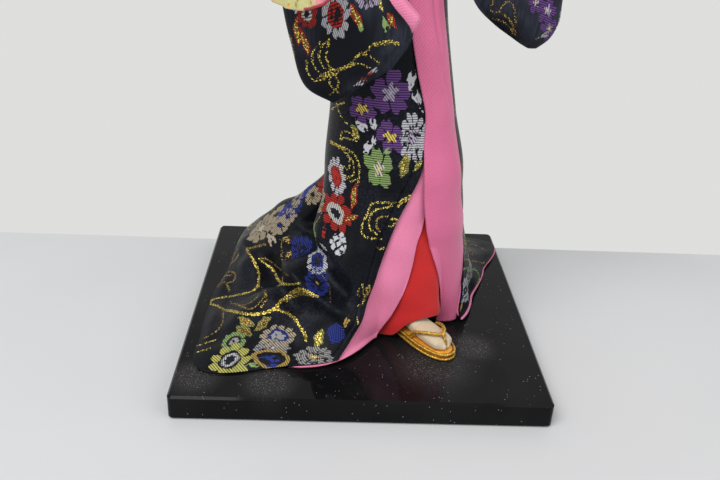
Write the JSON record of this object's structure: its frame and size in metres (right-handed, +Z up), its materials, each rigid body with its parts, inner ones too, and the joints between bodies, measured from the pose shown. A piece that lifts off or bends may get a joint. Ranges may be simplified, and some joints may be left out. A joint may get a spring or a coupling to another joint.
{
  "type": "geisha doll",
  "caption": "Free-standing geisha doll in a trailing black brocade kimono with pink lining, red underskirt and gold sandals, on a square black lacquered board.",
  "frame": {"origin": "centre of the board's underside", "axes": "+Z up; the doll faces -Y; +X towards the doll's left hand"},
  "size_m": [0.1664, 0.14, 0.2978],
  "materials": {
    "black_lacquer": "high-gloss black lacquer with a little dust",
    "steel_wire": "plain drawn wire",
    "brocade": "black satin-ground brocade with coloured and gilt figures",
    "pink_satin": "bright pink twilled satin",
    "red_crepe": "matt red crepe",
    "wadding": "soft white cotton wadding",
    "straw_core": "bound straw and paper",
    "sandal_sole": "gilt-edged board",
    "gold_leather": "orange gold, satin",
    "gold_cord": "twisted gilt cord",
    "white_cotton": "cream cotton",
    "white_silk": "white silk",
    "sash_brocade": "red and gold brocade",
    "doll_skin": "white painted, eggshell",
    "black_hair": "combed and lacquered black fibre",
    "fan_paper": "painted paper",
    "fan_bamboo": "dark red lacquer",
    "gilt_metal": "polished",
    "gilt_plastic": "gilt",
    "coral_plastic": "polished",
    "pink_petals": "folded cloth petals"
  },
  "bodies": {
    "figure": {"base_board": "black_lacquer", "right_leg_wire": "steel_wire", "left_leg_wire": "steel_wire", "arm_wire": "steel_wire", "kimono_skirt": "brocade", "kimono_bodice": "brocade", "kimono_collar": "brocade", "right_sleeve": "brocade", "left_sleeve": "brocade", "kimono_lining": "pink_satin", "kimono_facing": "pink_satin", "right_sleeve_lining": "pink_satin", "left_sleeve_lining": "pink_satin", "obi_scarf": "pink_satin", "under_skirt": "red_crepe", "train_wadding": "wadding", "right_arm": "wadding", "left_arm": "wadding", "body_core": "straw_core", "right_zori_sole": "sandal_sole", "left_zori_sole": "sandal_sole", "right_zori_insole": "gold_leather", "left_zori_insole": "gold_leather", "right_zori_lower_piping": "gold_cord", "right_zori_upper_piping": "gold_cord", "left_zori_lower_piping": "gold_cord", "left_zori_upper_piping": "gold_cord", "right_zori_strap": "gold_cord", "left_zori_strap": "gold_cord", "obi_cord": "gold_cord", "right_foot_tabi": "white_cotton", "left_foot_tabi": "white_cotton", "inner_collar": "white_silk", "obi_sash": "sash_brocade", "obi_knot": "sash_brocade", "right_hand": "doll_skin", "left_hand": "doll_skin", "fan_leaf": "fan_paper", "fan_ribs": "fan_bamboo", "fan_rivet": "gilt_metal"},
    "head": {"head": "doll_skin", "wig": "black_hair", "hair_topknot": "black_hair", "hair_ribbon": "red_crepe", "hair_comb": "gilt_plastic", "hair_pin": "coral_plastic", "flower_pin": "pink_petals"}
  },
  "joints": [
    {"name": "head_turn", "type": "hinge", "parent": "figure", "child": "head", "pos_m": [0.002, 0, 0.236], "axis": [0, 0, 1], "range_deg": [-30, 30]}
  ]
}
